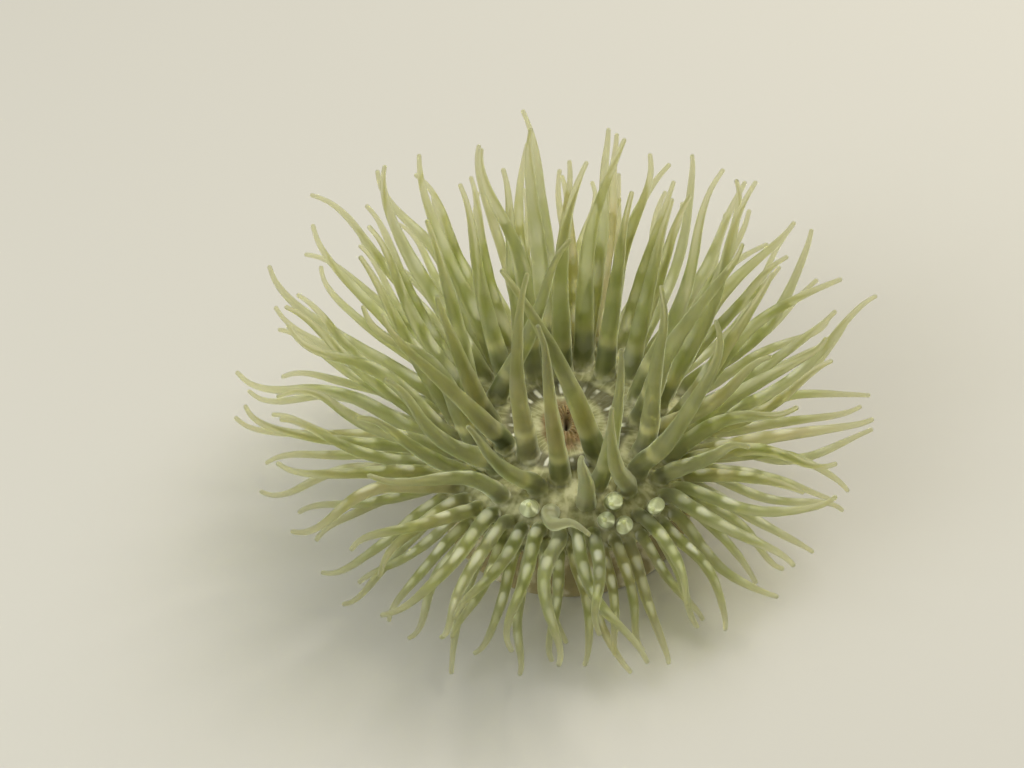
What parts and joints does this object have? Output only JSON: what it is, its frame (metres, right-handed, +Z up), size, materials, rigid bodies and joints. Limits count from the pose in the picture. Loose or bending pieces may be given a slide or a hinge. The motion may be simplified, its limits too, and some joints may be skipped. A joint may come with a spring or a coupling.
{
  "type": "sea anemone",
  "caption": "Still life-size sea anemone on a low round column, its oral disc ringed by a dense crown of slender, banded, translucent tentacles.",
  "frame": {"origin": "middle of the pedal disc's flat underside, on the floor", "axes": "+Z up through the mouth, -Y towards the near side, where the tentacles droop lowest, +X to the right as seen from the near side"},
  "size_m": [0.0736, 0.0674, 0.0422],
  "materials": {
    "tentacle": "wet translucent flesh, olive green with opaque cream spots along the upper side",
    "disc": "wet translucent flesh, grey green with pale radial bars",
    "mouth": "wet, finely grained, reddish brown",
    "column": "wet, satin, buff with paler streaks"
  },
  "bodies": {
    "root": {"pedal_disc": "column", "column": "column", "oral_disc": "disc", "mouth_lips": "mouth", "tall_tentacle_01_lower": "tentacle", "tall_tentacle_01_upper": "tentacle", "tall_tentacle_02_lower": "tentacle", "tall_tentacle_02_upper": "tentacle", "tall_tentacle_03_lower": "tentacle", "tall_tentacle_03_upper": "tentacle", "tall_tentacle_04_lower": "tentacle", "tall_tentacle_04_upper": "tentacle", "tall_tentacle_05_lower": "tentacle", "tall_tentacle_05_upper": "tentacle", "tall_tentacle_06_lower": "tentacle", "tall_tentacle_06_upper": "tentacle", "tall_tentacle_07_lower": "tentacle", "tall_tentacle_07_upper": "tentacle", "tall_tentacle_08_lower": "tentacle", "tall_tentacle_08_upper": "tentacle", "tall_tentacle_09_lower": "tentacle", "tall_tentacle_09_upper": "tentacle", "tall_tentacle_10_lower": "tentacle", "tall_tentacle_10_upper": "tentacle", "tall_tentacle_11_lower": "tentacle", "tall_tentacle_11_upper": "tentacle", "tall_tentacle_12_lower": "tentacle", "tall_tentacle_12_upper": "tentacle", "crown_middle_01": "tentacle", "crown_middle_02": "tentacle", "crown_middle_03": "tentacle", "crown_middle_04": "tentacle", "crown_middle_05": "tentacle", "crown_middle_06": "tentacle", "crown_middle_07": "tentacle", "crown_middle_08": "tentacle", "crown_middle_09": "tentacle", "crown_middle_10": "tentacle", "crown_middle_11": "tentacle", "crown_middle_12": "tentacle", "crown_fifth_01": "tentacle", "crown_fifth_02": "tentacle", "crown_fifth_03": "tentacle", "crown_fifth_04": "tentacle", "crown_fifth_05": "tentacle", "crown_fifth_06": "tentacle", "crown_fifth_07": "tentacle", "crown_fifth_08": "tentacle", "crown_outer_01": "tentacle", "crown_outer_02": "tentacle", "crown_outer_03": "tentacle", "crown_outer_04": "tentacle", "crown_outer_05": "tentacle", "crown_outer_06": "tentacle", "crown_outer_07": "tentacle", "crown_outer_08": "tentacle"}
  },
  "joints": []
}
